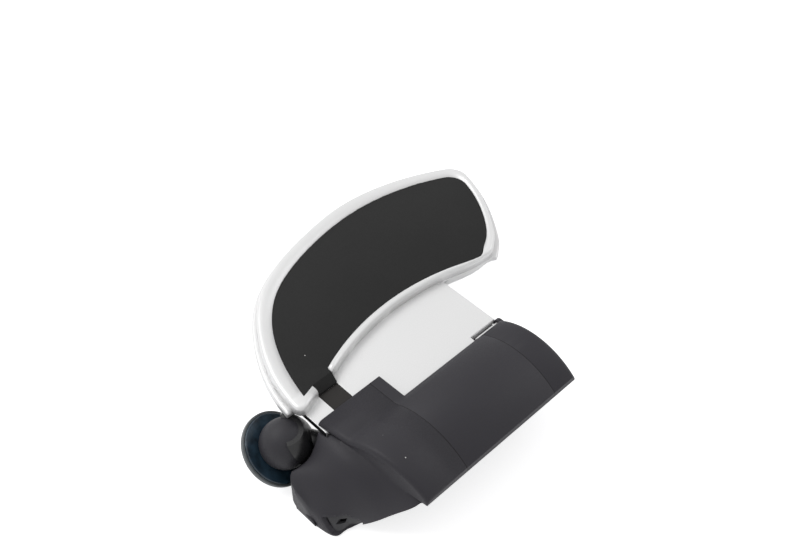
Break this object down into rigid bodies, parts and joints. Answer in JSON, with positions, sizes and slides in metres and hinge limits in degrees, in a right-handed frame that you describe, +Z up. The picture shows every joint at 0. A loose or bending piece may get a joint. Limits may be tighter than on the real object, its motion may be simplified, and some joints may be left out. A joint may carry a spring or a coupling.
{
  "type": "car phone mount",
  "caption": "Car phone mount: arched housing, telescopic ratchet plate with a crescent grip pad, push release, and a ball-jointed suction foot.",
  "frame": {"origin": "a point on the housing's flat underside, under the arch, at the middle of the slide plate's neck to within a few millimetres", "axes": "+Z up from the table that the housing rests on, +X along the housing from the nose to the end cap, +Y from the housing towards the crescent"},
  "size_m": [0.1596, 0.128, 0.0334],
  "materials": {
    "shell_plastic": "fine-grained charcoal moulding with a faint violet cast",
    "plate_silver": "satin silver lacquer",
    "bezel_silver": "bright silver lacquer",
    "strip_rubber": "dark strip, slightly brown",
    "pad_rubber": "matt black grip rubber",
    "pin_steel": "ground",
    "rail_nylon": "natural nylon",
    "button_plastic": "black, fine grain",
    "mechanism_plastic": "grey acetal",
    "spring_steel": "bare wire",
    "collar_plastic": "dark grey",
    "disc_plastic": "dark, glossy",
    "skirt_plastic": "light grey rim",
    "gel": "soft dark suction gel",
    "stud_black": "black",
    "screw_steel": "black zinc"
  },
  "bodies": {
    "root": {"ball_seat": "rail_nylon", "ball_stud": "stud_black", "base_housing": "shell_plastic", "button_spring": "spring_steel", "end_cap": "shell_plastic", "foot_socket": "stud_black", "guide_pin": "pin_steel", "guide_rail_left": "rail_nylon", "guide_rail_right": "rail_nylon", "housing_screws": "screw_steel", "left_cover": "shell_plastic", "main_cover": "shell_plastic", "pawl_pin": "pin_steel", "pawl_spring": "spring_steel"},
    "head": {"slide_plate": "plate_silver", "rack": "mechanism_plastic", "tail_strip": "strip_rubber", "crescent_back": "bezel_silver", "crescent_frame": "bezel_silver", "grip_pad": "pad_rubber", "head_screws": "screw_steel"},
    "pawl": {"pawl": "mechanism_plastic"},
    "button": {"release_button": "button_plastic"},
    "ball": {"foot_ball": "collar_plastic", "foot_hub": "collar_plastic"},
    "foot": {"foot_disc": "disc_plastic", "foot_skirt": "skirt_plastic", "gel_pad": "gel"}
  },
  "joints": [
    {"name": "plate_slide", "type": "slide", "parent": "root", "child": "head", "axis": [0, 1, 0], "range_m": [0, 0.024]},
    {"name": "button_press", "type": "slide", "parent": "root", "child": "button", "axis": [1, 0, 0], "range_m": [0, 0.0025], "stiffness_N_per_m": 600, "springref_m": -0.001, "deforming": ["button_spring"]},
    {"name": "pawl_pivot", "type": "hinge", "parent": "root", "child": "pawl", "pos_m": [-0.02, 0.002, 0.013], "axis": [1, 0, 0], "range_deg": [-10.2, 0], "deforming": ["pawl_spring"]},
    {"name": "foot_tilt", "type": "hinge", "parent": "root", "child": "ball", "pos_m": [-0.0432, 0.0303, 0.0148], "axis": [0.5203, 0.789, 0.3267], "range_deg": [0, 20]},
    {"name": "foot_swivel", "type": "hinge", "parent": "ball", "child": "foot", "pos_m": [-0.0432, 0.0303, 0.0148], "axis": [-0.3016, 0.5277, -0.7941], "continuous": true}
  ],
  "couplings": [
    {"joint": "pawl_pivot", "follows": "button_press", "rad_per_m": -69.813}
  ]
}
